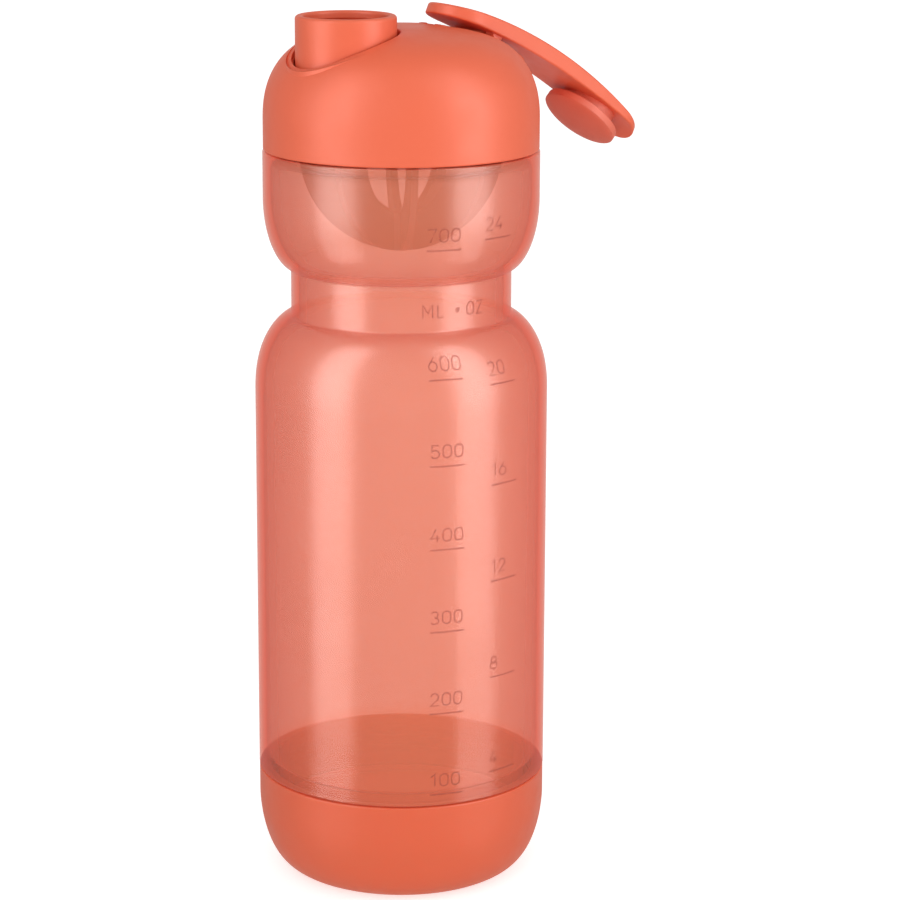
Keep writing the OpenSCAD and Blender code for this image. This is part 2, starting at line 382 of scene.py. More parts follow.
def build_base_cup(sizes, material):
    """Base cup: flat foot, deep curved side, rounded rim, and a thread in its bore."""
    cup_r = CUP_HIGH[1]
    edge = sizes.edge_radius / MM
    profile = rounded(np.vstack([
        [[0, 0, 0], [FOOT_R - 3, 0, 0]],
        curve_corner(FOOT_R, 0, cup_r, CUP_CURVE_H, 3.67, 1.70),
        [[cup_r, CUP_H, edge], [CUP_BORE, CUP_H, edge], [CUP_BORE, FOOT_NECK_Z - 1.7, 0.5],
         [FOOT_NECK_IN, FOOT_NECK_Z - 1.7, 0.4]],
        curve_corner(18, CUP_FLOOR, FOOT_NECK_IN, FOOT_NECK_Z - 2.1, 3.0, 1.8)[::-1],
        [[0, CUP_FLOOR, 0]]]))
    sheets = [(lathe(profile, 168), False, True)]
    for start in (np.arange(STARTS) + 0.5) * TURN / STARTS:
        sheets.append((thread(CUP_BORE, -0.35, 17.4, 27.4, start), False, True))
    make_piece("base_cup_shell", sheets, material, "base", ["base_cup"])


# ---------------------------------------------------------------- printed scale


def arc(centre_x, centre_y, rx, ry, start, end, count=15):
    """Points of an ellipse's arc from one angle to another, in degrees."""
    a = np.radians(np.linspace(start, end, count))
    return np.stack([centre_x + rx * np.cos(a), centre_y + ry * np.sin(a)], axis=1)


def loop(rx, low, high, centre_x):
    """Closed upright loop: two half circles joined by straight sides."""
    top = arc(centre_x, high - rx, rx, rx, 0, 180)
    bottom = arc(centre_x, low + rx, rx, rx, 180, 360)
    return np.vstack([top, bottom, top[:1]])


def glyph(character):
    """Width and strokes of one character of unit height, drawn with straight lines and arcs."""
    if character == "0":
        return 0.66, [loop(0.33, 0, 1, 0.33)]
    if character == "1":
        return 0.50, [np.array([[0.06, 0.76], [0.36, 1.0], [0.36, 0.0]])]
    if character == "2":
        bowl = arc(0.32, 0.68, 0.31, 0.32, 165, -28)
        return 0.66, [np.vstack([bowl, [[0.02, 0.0], [0.66, 0.0]]])]
    if character == "3":
        top = arc(0.31, 0.75, 0.27, 0.25, 150, -90)
        bottom = arc(0.31, 0.26, 0.33, 0.26, 90, -150)
        return 0.66, [top, bottom]
    if character == "4":
        return 0.68, [np.array([[0.42, 1.0], [0.02, 0.26], [0.68, 0.26]]),
                      np.array([[0.50, 0.50], [0.50, 0.0]])]
    if character == "5":
        bowl = arc(0.31, 0.31, 0.34, 0.31, 118, -148)
        return 0.66, [np.vstack([[[0.60, 1.0], [0.10, 1.0], [0.07, 0.54]], bowl])]
    if character == "6":
        return 0.66, [np.vstack([[[0.46, 1.0]], arc(0.33, 0.33, 0.33, 0.33, 152, 512, 31)])]
    if character == "7":
        return 0.64, [np.array([[0.0, 1.0], [0.64, 1.0], [0.22, 0.0]])]
    if character == "8":
        top = arc(0.33, 0.76, 0.26, 0.24, -90, 270, 25)
        bottom = arc(0.33, 0.27, 0.33, 0.27, 90, 450, 25)
        return 0.66, [top, bottom]
    if character == "M":
        return 0.78, [np.array([[0, 0], [0, 1.0], [0.39, 0.38], [0.78, 1.0], [0.78, 0]])]
    if character == "L":
        return 0.52, [np.array([[0, 1.0], [0, 0], [0.52, 0]])]
    if character == "O":
        return 0.68, [loop(0.34, 0, 1, 0.34)]
    if character == "Z":
        return 0.62, [np.array([[0, 1.0], [0.60, 1.0], [0, 0], [0.62, 0]])]
    raise ValueError("no strokes for " + character)


def ribbon(path, width):
    """Flat stroke: the path set off by half its width to each side along mitred normals."""
    step = np.diff(path, axis=0)
    step = step / np.linalg.norm(step, axis=1)[:, None]
    closed = np.allclose(path[0], path[-1])
    before = np.vstack([step[-1:] if closed else step[:1], step])
    after = np.vstack([step, step[:1] if closed else step[-1:]])
    along = before + after
    along = along / np.linalg.norm(along, axis=1)[:, None]
    mitre = np.clip(np.sum(along * after, axis=1), 0.5, 1)
    normal = np.stack([-along[:, 1], along[:, 0]], axis=1) / mitre[:, None]
    return np.stack([path - normal * width / 2, path + normal * width / 2], axis=1)


def on_wall(flat, azimuth, height, profile, proud=0.035):
    """Wrap a flat drawing round the bottle: across becomes turn, up becomes height.

    The turn at each point is its distance across divided by the wall's radius at the middle
    of the drawing, and the radius is that of the wall at its own height.
    """
    z = height + flat[..., 1]
    r = np.interp(z, profile[:, 1], profile[:, 0]) + proud
    middle_r = np.interp(height, profile[:, 1], profile[:, 0])
    turn = math.radians(azimuth) + flat[..., 0] / middle_r
    return np.stack([r * np.cos(turn), r * np.sin(turn), z], axis=-1)


def written(text, left, size, pitch):
    """Strokes of a number or a word, from its left end, in millimetres."""
    strokes = []
    x = left
    for character in text:
        width, paths = glyph(character)
        strokes += [path * size + np.array([x, 0.0]) for path in paths]
        x += width * size + pitch
    return strokes


def printed_column(marks, azimuth, line_length, sizes, profile):
    """Sheets for one column of the scale: each number over its underline."""
    digit = sizes.digit_height / MM
    stroke = sizes.stroke_width / MM
    sheets = []
    for text, height in marks:
        line = np.stack([np.linspace(0, line_length, 12), np.zeros(12)], axis=1)
        sheets.append((on_wall(ribbon(line, stroke * 1.15), azimuth, height, profile), False, False))
        for path in written(text, 0.15, digit, 1.0):
            flat = ribbon(path, stroke)
            sheets.append((on_wall(flat, azimuth, height + 2.3, profile), False, False))
    return sheets


def build_scale(sizes, material):
    """Printed volume scale: millilitres, ounces, and their label on the waist."""
    outline = rounded(wall_outside(sizes))
    straight = outline[:, 1] > WALL_LOW + 1
    profile = outline[straight & (outline[:, 1] < WALL_TOP - 1)]
    millilitres = [("700", 179.2), ("600", 145.7), ("500", 123.0), ("400", 100.5),
                   ("300", 78.0), ("200", 55.4), ("100", 32.8)]
    ounces = [("24", 181.2), ("20", 143.2), ("16", 116.3), ("12", 90.0), ("8", 63.3), ("4", 36.8)]
    sheets = []
    for mark in millilitres:
        radius = np.interp(mark[1], profile[:, 1], profile[:, 0])
        azimuth = -108.7 - math.degrees(4.7 / radius)
        sheets += printed_column([mark], azimuth, 9.4, sizes, profile)
    make_piece("scale_millilitres", sheets, material, "bottle", wall=0.03)
    sheets = []
    for mark in ounces:
        radius = np.interp(mark[1], profile[:, 1], profile[:, 0])
        azimuth = -83.9 - math.degrees(4.1 / radius)
        sheets += printed_column([mark], azimuth, 9.2, sizes, profile)
    make_piece("scale_ounces", sheets, material, "bottle", wall=0.03)
    stroke = sizes.stroke_width / MM
    strokes = written("ML", 0.0, 3.3, 1.45) + written("OZ", 12.6, 3.3, 1.0)
    sheets = [(on_wall(ribbon(path, stroke), -115.6, 160.4, profile), False, False) for path in strokes]
    reach = np.linspace(0.0, 0.65, 4)[:, None]
    turn = np.linspace(0, TURN, 25)
    dot = np.stack([9.7 + reach * np.cos(turn), 1.65 + reach * np.sin(turn)], axis=-1)
    sheets.append((on_wall(dot, -115.6, 160.4, profile), False, False))
    make_piece("scale_label", sheets, material, "bottle", wall=0.03)


# ---------------------------------------------------------------- lid


def build_lid_core(sizes, material):
    """Spout, roof, threaded skirt and plug ring of the lid.

    The spout's profile turns about the spout's axis and the skirt's about the bottle's. The
    flat roof between them is spanned by circles that share its height.
    """
    spout_r = sizes.spout_radius / MM
    lid_in = sizes.lid_radius / MM - 2.0
    bore_r = spout_r - 1.6
    lip_r = spout_r - LIP_WALL
    edge = sizes.edge_radius / MM
    spout = rounded([
        [bore_r + 0.9, ROOF[0], 0], [bore_r, ROOF[0], 0.3], [bore_r, RIM - 2.6, 0.3],
        [lip_r, RIM - 1.9, 0.3], [lip_r, RIM, 0.8], [spout_r, RIM, 0.9],
        [spout_r, ROOF[1], 0.4], [spout_r + 1.2, ROOF[1], 0]], steps=8)
    skirt = rounded([
        [lid_in - 1.6, ROOF[1], 0], [lid_in - 0.35, ROOF[1], edge], [lid_in - 0.35, CURVE_LOW - 1, 0.1],
        [lid_in, CURVE_LOW - 1.35, 0.1], [lid_in, SEAM + 0.6, edge], [SKIRT_BORE, SEAM + 0.6, edge],
        [SKIRT_BORE, ROOF[0], 0.4], [31.4, ROOF[0], 0]])
    centre = np.concatenate([np.full(len(spout), SPOUT_X), np.zeros(len(skirt))])
    both = np.vstack([spout, skirt])
    sheets = [(rings(centre, both[:, 0], both[:, 1], 144), True, True)]
    ring = rounded([
        [PLUG[0], SEAM + 2.2, 0.4], [PLUG[1], SEAM + 2.2, 0.4], [PLUG[1], ROOF[0] + 0.2, 0],
        [PLUG[0], ROOF[0] + 0.2, 0]])
    plug = lathe(ring, 144)
    from_spout = np.hypot(plug[..., 0] - SPOUT_X, plug[..., 1]) - bore_r
    notch = np.clip(1.6 - from_spout / 0.5, 0, 1) * 1.2
    high = plug[..., 2] > ROOF[0]
    plug[..., 2] -= np.where(high, notch, 0)
    sheets.append((plug, True, True))
    for start in (np.arange(STARTS) + 0.5) * TURN / STARTS:
        sheets.append((thread(SKIRT_BORE, -0.45, SEAM + 1.6, SEAM + 8.4, start), False, True))
    make_piece("lid_core_spout", sheets, material, "lid", ["lid_core"])


def dome_table(lid_r, count=1600):
    """Meridian of the dome and its skirt: path length from the crown, radius and height."""
    a = np.linspace(0, math.pi / 2, count)
    r = lid_r * np.sin(a) ** (2 / 3.3)
    z = CURVE_TOP + (CURVE_LOW - CURVE_TOP) * (1 - np.clip(np.cos(a), 0, 1) ** (2 / 2.34))
    r = np.append(r, lid_r)
    z = np.append(z, SEAM + 0.5)
    length = np.append(0, np.cumsum(np.hypot(np.diff(r), np.diff(z))))
    return length, r, z


def dome_points(flat, table):
    """Dome surface: a flat point's distance from the centre is the path length from the crown."""
    length, r, z = table
    reach = np.hypot(flat[..., 0], flat[..., 1])
    turn = np.arctan2(flat[..., 1], flat[..., 0])
    radius = np.interp(reach, length, r)
    return np.stack([radius * np.cos(turn), radius * np.sin(turn), np.interp(reach, length, z)], -1)


def flatten(points, table):
    """The flat point of a point on the dome, the reverse of dome_points."""
    length, r, _ = table
    turn = np.arctan2(points[..., 1], points[..., 0])
    reach = np.interp(np.hypot(points[..., 0], points[..., 1]), r, length)
    return np.stack([reach * np.cos(turn), reach * np.sin(turn)], -1)


def on_swivel(e, y, h, pivot_z):
    """Point of the swivel frame: e along the arm, y across it and h up the swivel axis."""
    x = PIVOT_X + e * math.cos(TILT) + h * math.sin(TILT)
    z = pivot_z - e * math.sin(TILT) + h * math.cos(TILT)
    return np.stack(np.broadcast_arrays(x, y, z), axis=-1)


def dome_height(lid_r, r):
    """Height of the dome over a radius, from its superellipse."""
    return CURVE_LOW + (CURVE_TOP - CURVE_LOW) * np.clip(1 - (r / lid_r) ** 3.3, 0, 1) ** (1 / 2.34)


def height_on_swivel(e, y, pivot_z, lid_r):
    """Height of the dome along the swivel axis over (e, y), found by halving an interval."""
    low = np.full(np.shape(e), -16.0)
    high = np.full(np.shape(e), 4.0)
    for _ in range(44):
        middle = (low + high) / 2
        point = on_swivel(e, y, middle, pivot_z)
        r = np.hypot(point[..., 0], point[..., 1])
        inside = (r < lid_r) & (point[..., 2] < dome_height(lid_r, r))
        low = np.where(inside, middle, low)
        high = np.where(inside, high, middle)
    return (low + high) / 2


def bend(first, corner, last, steps=6):
    """Rounded edge: the quadratic curve from first to last that the corner point pulls."""
    t = np.linspace(0, 1, steps)[:, None, None]
    return (1 - t) ** 2 * first + 2 * t * (1 - t) * corner + t ** 2 * last


def build_dome(sizes, material):
    """Dome of the lid with the well round the spout and the pocket of the pivot.

    The dome is laid out flat by path length from its crown and cut along a chord into a
    spout side and a pivot side. On each side, lines run from the rim of the hole to the
    chord or to the skirt. The rims are rounded, then the well drops straight down and the
    pocket ends in a flat floor round the post hole.
    """
    lid_r = sizes.lid_radius / MM
    well_r = sizes.spout_radius / MM + WELL_GAP
    edge = sizes.edge_radius / MM
    table = dome_table(lid_r)
    pivot_z = float(dome_height(lid_r, PIVOT_X))
    outer = table[0][-1]
    chord = 4.6
    half = math.sqrt(outer ** 2 - chord ** 2)
    line = np.stack([np.full(72, chord), np.linspace(-half, half, 72)], axis=1)
    end = math.acos(chord / outer)
    left_turn = np.linspace(end, TURN - end, 150)
    left_arc = outer * np.stack([np.cos(left_turn), np.sin(left_turn)], axis=1)
    right_turn = np.linspace(-end, end, 128)
    right_arc = outer * np.stack([np.cos(right_turn), np.sin(right_turn)], axis=1)
    spread = (1 - np.cos(np.linspace(0, math.pi / 2, 44))) ** 0.8
    spread = spread[:, None, None]

    # Spout side
    border = np.vstack([line, left_arc[1:-1]])
    centre = flatten(np.array([SPOUT_X, 0.0]), table)
    turn = np.arctan2(border[:, 1] - centre[1], border[:, 0] - centre[0])
    circle = np.stack([np.cos(turn), np.sin(turn)], axis=1)
    lip = circle * (well_r + edge) + np.array([SPOUT_X, 0.0])
    rim = flatten(lip, table)
    outside = dome_points(rim + (border - rim) * spread, table)[::-1]
    mouth = circle * well_r + np.array([SPOUT_X, 0.0])
    mouth_z = dome_height(lid_r, np.hypot(mouth[:, 0], mouth[:, 1]))
    corner = np.column_stack([mouth, mouth_z])
    below = np.column_stack([mouth, mouth_z - edge])
    drop = np.linspace(0.04, 1, 6)[:, None]
    wall_z = below[:, 2] + (ROOF[1] + 0.05 - below[:, 2]) * drop
    wall = np.stack([np.broadcast_to(mouth[:, 0], wall_z.shape),
                     np.broadcast_to(mouth[:, 1], wall_z.shape), wall_z], axis=-1)
    spout_side = np.concatenate([outside[:-1], bend(outside[-1], corner, below), wall])

    # Pivot side
    border = np.vstack([line[::-1], right_arc[1:-1]])
    centre = flatten(np.array([PIVOT_X, 0.0]), table)
    turn = np.arctan2(border[:, 1] - centre[1], border[:, 0] - centre[0])
    reach = np.linspace(3.0, POCKET_R, 240)[:, None]
    depth = height_on_swivel(reach * np.cos(turn), reach * np.sin(turn), pivot_z, lid_r)
    sunk = depth < -POCKET_H
    first = np.where(sunk.any(axis=0), sunk.argmax(axis=0), reach.shape[0] - 1)
    above = np.take_along_axis(depth, np.maximum(first - 1, 0)[None], axis=0)[0]
    here = np.take_along_axis(depth, first[None], axis=0)[0]
    share = np.clip((above + POCKET_H) / np.maximum(above - here, 1e-6), 0, 1)
    step = reach[1, 0] - reach[0, 0]
    crossing = reach[np.maximum(first - 1, 0), 0] + share * step
    rim_r = np.where(sunk.any(axis=0), crossing, POCKET_R)
    rim_h = height_on_swivel(rim_r * np.cos(turn), rim_r * np.sin(turn), pivot_z, lid_r)
    rim_h = np.maximum(rim_h, -POCKET_H)
    soft = np.minimum(edge, (rim_h + POCKET_H) / 2)
    out_r = rim_r + np.maximum(soft, 0.02)
    out_h = height_on_swivel(out_r * np.cos(turn), out_r * np.sin(turn), pivot_z, lid_r)
    lip = on_swivel(out_r * np.cos(turn), out_r * np.sin(turn), out_h, pivot_z)
    rim = flatten(lip, table)
    outside = dome_points(rim + (border - rim) * spread, table)[::-1]
    corner = on_swivel(rim_r * np.cos(turn), rim_r * np.sin(turn), rim_h, pivot_z)
    below = on_swivel(rim_r * np.cos(turn), rim_r * np.sin(turn), rim_h - soft, pivot_z)
    base_h = np.full_like(rim_r, -POCKET_H)
    foot = on_swivel(rim_r * np.cos(turn), rim_r * np.sin(turn), base_h + soft, pivot_z)
    foot_corner = on_swivel(rim_r * np.cos(turn), rim_r * np.sin(turn), base_h, pivot_z)
    inner_r = rim_r - soft
    foot_floor = on_swivel(inner_r * np.cos(turn), inner_r * np.sin(turn), base_h, pivot_z)
    shrink = np.linspace(0.03, 1, 14)[:, None]
    floor_r = inner_r + (POST_HOLE + 0.3 - inner_r) * shrink
    floor = on_swivel(floor_r * np.cos(turn), floor_r * np.sin(turn), base_h, pivot_z)
    hole_r = np.array([POST_HOLE, POST_HOLE])[:, None]
    hole_h = np.array([-POCKET_H - 0.3, -POCKET_H - POCKET_FLOOR])[:, None]
    hole = on_swivel(hole_r * np.cos(turn), hole_r * np.sin(turn), hole_h, pivot_z)
    pivot_side = np.concatenate([
        outside[:-1], bend(outside[-1], corner, below), bend(foot, foot_corner, foot_floor), floor, hole])

    # Lower edge of the skirt, all the way round
    around = np.concatenate([left_turn, right_turn[1:-1]])
    lower = rounded([[lid_r, SEAM + 0.5, 0], [lid_r, SEAM, 0.4], [lid_r - 1.0, SEAM, 0]])
    skirt = np.stack([lower[:, :1] * np.cos(around), lower[:, :1] * np.sin(around),
                      np.broadcast_to(lower[:, 1:], (len(lower), len(around)))], axis=-1)
    sheets = [(spout_side, False, True), (pivot_side, False, True), (skirt, False, True)]
    make_piece("dome_shell", sheets, material, "lid", ["dome_cover"], wall=1.5)


# ---------------------------------------------------------------- closure arm


def arc_height(arc, e):
    """Height of an arc at e along the arm: the circle of given radius, crown place and height."""
    radius, crown, height = arc
    return height - radius + np.sqrt(radius ** 2 - (e - crown) ** 2)


def arm_top(e):
    """Height of the arm's upper face."""
    return arc_height(ARM_TOP_ARC, e)


def arm_under(e):
    """Height of the arm's underside, which follows the lower of two arcs at the tip."""
    plate = arc_height(ARM_UNDER_ARC, e)
    tip = arc_height(ARM_TIP_ARC, e)
    return np.where(e > ARM_TIP_FROM, np.minimum(plate, tip), plate)


def stadium(inset, half_width, count=56):
    """Outline of the arm set in by a distance: two half circles joined by straight sides."""
    r = half_width - inset
    far = np.linspace(-math.pi / 2, math.pi / 2, count)
    near = np.linspace(math.pi / 2, 1.5 * math.pi, count)
    side = np.linspace(0, 1, 40)[1:-1]
    span = ARM_FAR - ARM_NEAR
    e = np.concatenate([ARM_FAR + r * np.cos(far), ARM_FAR - span * side,
                        ARM_NEAR + r * np.cos(near), ARM_NEAR + span * side])
    y = np.concatenate([r * np.sin(far), np.full(38, r), r * np.sin(near), np.full(38, -r)])
    return e, y


def build_arm(sizes, material, pivot_z):
    """Closure arm: a plate between two arcs with rounded edges, a slot and two bosses.

    Rings of the plate's outline run over the upper face, round the edge and back along the
    underside, where they close in on the slot's rectangle. Then they climb the slot's wall
    and meet in the middle of its ceiling.
    """
    half = sizes.arm_half_width / MM
    round_top = 0.7
    round_low = 0.6
    rows = []
    for inset in np.append(np.linspace(half, round_top + 0.25, 12), round_top):
        e, y = stadium(inset, half)
        rows.append(on_swivel(e, y, arm_top(e), pivot_z))
    for a in np.linspace(0, math.pi / 2, 8)[1:]:
        e, y = stadium(round_top * (1 - math.sin(a)), half)
        rows.append(on_swivel(e, y, arm_top(e) - round_top * (1 - math.cos(a)), pivot_z))
    e, y = stadium(0, half)
    top = arm_top(e) - round_top
    low = arm_under(e) + round_low
    for share in (0.06, 0.5, 0.94, 1.0):
        rows.append(on_swivel(e, y, top + (low - top) * share, pivot_z))
    for a in np.linspace(0, math.pi / 2, 7)[1:]:
        e, y = stadium(round_low * (1 - math.cos(a)), half)
        rows.append(on_swivel(e, y, arm_under(e) + round_low * (1 - math.sin(a)), pivot_z))
    e, y = stadium(round_low, half)
    scale = np.maximum(np.abs(e) / SLOT[0], np.abs(y) / SLOT[1])
    slot_e = e / scale
    slot_y = y / scale
    for share in np.linspace(0.01, 1, 30):
        under_e = e + (slot_e - e) * share
        under_y = y + (slot_y - y) * share
        rows.append(on_swivel(under_e, under_y, arm_under(under_e), pivot_z))
    rows.append(on_swivel(slot_e, slot_y, np.full_like(e, SLOT[2]), pivot_z))
    rows.append(on_swivel(slot_e * 0, slot_y * 0, np.full_like(e, SLOT[2]), pivot_z))
    sheets = [(np.stack(rows), False, True)]

    # Bosses: a half-round bar below the plate on each side of the slot
    under = np.linspace(math.pi, TURN, 17)
    section_e = np.concatenate([BOSS_R * np.cos(under), [BOSS_R, -BOSS_R]])
    section_h = np.concatenate([BOSS_R * np.sin(under), [1.4, 1.4]])
    ends = np.linspace(0, math.pi / 2, 6)
    step_in = 0.3 * (1 - np.cos(ends))
    along = np.concatenate([[0], step_in, BOSS_W - step_in[::-1], [BOSS_W]])
    taper = 1 - 0.3 / BOSS_R * (1 - np.sin(ends))
    size = np.concatenate([[0], taper, taper[::-1], [0]])[:, None]
    for side in (-1, 1):
        y = side * (SLOT[1] + along)[:, None]
        boss = on_swivel(size * section_e, y + 0 * section_e, PIN_H + size * section_h, pivot_z)
        sheets.append((boss, False, True))
    make_piece("arm_plate", sheets, material, "arm", ["closure_arm"])


def stopper_frame(r, turn, z, pivot_z):
    """Point of the stopper's frame, carried by the open arm, as (e, y, h) of the swivel frame.

    The frame is the spout's own, seen from the closed arm. It leans by the swivel's tilt
    less the rock, and sits where half a turn about the swivel axis brings the spout.
    """
    dx = SPOUT_X - PIVOT_X
    dz = RIM - pivot_z
    away = -(dx * math.cos(TILT) - dz * math.sin(TILT))
    up = dx * math.sin(TILT) + dz * math.cos(TILT) - PIN_H
    e = r * np.cos(turn) * math.cos(TILT) + z * math.sin(TILT) + away
    h = -r * np.cos(turn) * math.sin(TILT) + z * math.cos(TILT) + up
    y = r * np.sin(turn)
    return (e * math.cos(ROCK) - h * math.sin(ROCK), y, e * math.sin(ROCK) + h * math.cos(ROCK) + PIN_H)


def build_stopper(sizes, material, pivot_z):
    """Soft stopper: a shallow domed end, a rim band and a neck that runs up into the arm."""
    band_r = sizes.spout_radius / MM - LIP_WALL - 0.1
    low, high = STOPPER_BAND
    profile = rounded(np.vstack([
        curve_corner(0, low - STOPPER_BULB, band_r, low, 2, 1.6)[:-1],
        [[band_r, low, 0.25], [band_r, high, 0.45], [STOPPER_NECK_R, high, 0.5],
         [STOPPER_NECK_R, 3.0, 0]]]))
    turn = np.arange(96) * TURN / 96
    r = np.broadcast_to(profile[:, :1], (len(profile), 96))
    z = np.broadcast_to(profile[:, 1:], (len(profile), 96))
    rows = [on_swivel(*stopper_frame(r, turn, z, pivot_z), pivot_z)]
    for depth, radius in ((0.0, STOPPER_NECK_R), (1.0, STOPPER_NECK_R), (1.0, 0.0)):
        top = np.full(96, 4.0)
        for _ in range(5):
            e, _y, h = stopper_frame(radius, turn, top, pivot_z)
            top = top + (arm_under(e) + depth - h) / math.cos(TILT - ROCK)
        rows.append(on_swivel(*stopper_frame(radius, turn, top, pivot_z), pivot_z)[None])
    make_piece("stopper_bung", [(np.concatenate(rows), False, True)], material, "arm",
               ["stopper_seal"])


# ---------------------------------------------------------------- finishes


def new_group(name, inputs, outputs):
    """Empty shader node group with its named inputs and outputs."""
    group = bpy.data.node_groups.new(name, "ShaderNodeTree")
    for label, kind, default in inputs:
        socket = group.interface.new_socket(name=label, in_out="INPUT", socket_type=kind)
        if default is not None:
            socket.default_value = default
    for label, kind in outputs:
        group.interface.new_socket(name=label, in_out="OUTPUT", socket_type=kind)
    return group, group.nodes.new("NodeGroupInput"), group.nodes.new("NodeGroupOutput")


def math_node(tree, operation, first, second, clamp=False):
    """Math node on two values or sockets, giving its output socket."""
    node = tree.nodes.new("ShaderNodeMath")
    node.operation = operation
    node.use_clamp = clamp
    for socket, value in zip(node.inputs, (first, second)):
        if isinstance(value, (int, float)):
            socket.default_value = value
        else:
            tree.links.new(value, socket)
    return node.outputs[0]


def noise_node(tree, coordinates, scale, detail=2.0, rough=0.5):
    """Noise texture on given coordinates, giving its output socket."""
    node = tree.nodes.new("ShaderNodeTexNoise")
    node.inputs["Detail"].default_value = detail
    node.inputs["Roughness"].default_value = rough
    tree.links.new(coordinates, node.inputs["Vector"])
    if isinstance(scale, (int, float)):
        node.inputs["Scale"].default_value = scale
    else:
        tree.links.new(scale, node.inputs["Scale"])
    return node.outputs["Fac"]


def grain_group():
    """Moulding grain: fine noise for the surface height and a slower one for the gloss."""
    group, entry, leave = new_group(
        "Moulding Grain",
        [("Coordinates", "NodeSocketVector", None), ("Grain Size", "NodeSocketFloat", 0.0004),
         ("Roughness", "NodeSocketFloat", 0.4), ("Variation", "NodeSocketFloat", 0.08)],
        [("Height", "NodeSocketFloat"), ("Roughness", "NodeSocketFloat")])
    fine = math_node(group, "DIVIDE", 1.0, entry.outputs["Grain Size"])
    slow = math_node(group, "MULTIPLY", fine, 0.06)
    height = noise_node(group, entry.outputs["Coordinates"], fine, 3.0, 0.6)
    patches = noise_node(group, entry.outputs["Coordinates"], slow, 3.0, 0.55)
    swing = math_node(group, "SUBTRACT", patches, 0.5)
    swing = math_node(group, "MULTIPLY", swing, entry.outputs["Variation"])
    swing = math_node(group, "MULTIPLY", swing, 4.0)
    rough = math_node(group, "ADD", entry.outputs["Roughness"], swing, clamp=True)
    group.links.new(height, leave.inputs["Height"])
    group.links.new(rough, leave.inputs["Roughness"])
    return group


def tone_group():
    """Tone drift: the colour moves towards a deeper one in soft patches of a given size."""
    group, entry, leave = new_group(
        "Tone Drift",
        [("Coordinates", "NodeSocketVector", None), ("Colour", "NodeSocketColor", None),
         ("Deep Colour", "NodeSocketColor", None), ("Patch Size", "NodeSocketFloat", 0.03),
         ("Amount", "NodeSocketFloat", 0.5)],
        [("Colour", "NodeSocketColor")])
    scale = math_node(group, "DIVIDE", 1.0, entry.outputs["Patch Size"])
    patches = noise_node(group, entry.outputs["Coordinates"], scale, 2.0, 0.5)
    specks = noise_node(group, entry.outputs["Coordinates"], math_node(group, "MULTIPLY", scale, 24.0))
    both = math_node(group, "ADD", math_node(group, "MULTIPLY", patches, 0.75),
                     math_node(group, "MULTIPLY", specks, 0.25))
    share = math_node(group, "MULTIPLY", both, entry.outputs["Amount"], clamp=True)
    mix = group.nodes.new("ShaderNodeMix")
    mix.data_type = "RGBA"
    group.links.new(share, mix.inputs["Factor"])
    group.links.new(entry.outputs["Colour"], mix.inputs[6])
    group.links.new(entry.outputs["Deep Colour"], mix.inputs[7])
    group.links.new(mix.outputs[2], leave.inputs["Colour"])
    return group


def shared_group(name, build):
    """The named node group, built the first time that a material asks for it."""
    return bpy.data.node_groups.get(name) or build()


def moulded_finish(name, colour, deep, roughness, grain, bump=0.15, variation=0.08,
                   patch=0.03, amount=0.6, stretch=(1, 1, 1), settings=None):
    """Procedural finish: drifting tone, grain in the surface and an uneven gloss."""
    existing = bpy.data.materials.get(name)
    if existing:
        return existing
    material = bpy.data.materials.new(name)
    material.use_nodes = True
    tree = material.node_tree
    shader = tree.nodes["Principled BSDF"]
    for label, value in (settings or {}).items():
        shader.inputs[label].default_value = value
    place = tree.nodes.new("ShaderNodeTexCoord")
    mapping = tree.nodes.new("ShaderNodeMapping")
    mapping.inputs["Scale"].default_value = stretch
    tree.links.new(place.outputs["Object"], mapping.inputs["Vector"])
    tone = tree.nodes.new("ShaderNodeGroup")
    tone.node_tree = shared_group("Tone Drift", tone_group)
    tone.inputs["Colour"].default_value = (*colour, 1)
    tone.inputs["Deep Colour"].default_value = (*deep, 1)
    tone.inputs["Patch Size"].default_value = patch
    tone.inputs["Amount"].default_value = amount
    moulding = tree.nodes.new("ShaderNodeGroup")
    moulding.node_tree = shared_group("Moulding Grain", grain_group)
    moulding.inputs["Grain Size"].default_value = grain
    moulding.inputs["Roughness"].default_value = roughness
    moulding.inputs["Variation"].default_value = variation
    tree.links.new(mapping.outputs["Vector"], tone.inputs["Coordinates"])
    tree.links.new(mapping.outputs["Vector"], moulding.inputs["Coordinates"])
    lift = tree.nodes.new("ShaderNodeBump")
    lift.inputs["Strength"].default_value = bump
    lift.inputs["Distance"].default_value = 0.0001
    tree.links.new(moulding.outputs["Height"], lift.inputs["Height"])
    tree.links.new(tone.outputs["Colour"], shader.inputs["Base Color"])
    tree.links.new(moulding.outputs["Roughness"], shader.inputs["Roughness"])
    tree.links.new(lift.outputs["Normal"], shader.inputs["Normal"])
    return material


def coral_plastic(colours):
    """Satin coral moulding of the lid, the arm and the base cup."""
    return moulded_finish("coral_satin", colours.coral, colours.coral_deep, 0.45, colours.grain,
                          settings={"Specular IOR Level": 0.2})


def cup_plastic(colours):
    """Coral moulding of the base cup, which lets a little light through to its inside. Its colour is the
    lid's coral darkened as painted shade.
    """
    # Painted shade: the lid's coral darkened to 0.88, a shaded copy for the base cup.
    colour = [value * 0.88 for value in colours.coral]
    return moulded_finish("coral_cup", colour, colours.coral_deep, 0.45, colours.grain,
                          settings={"Specular IOR Level": 0.2, "Subsurface Weight": 0.3,
                                    "Subsurface Radius": (1.0, 0.35, 0.2), "Subsurface Scale": 0.004})


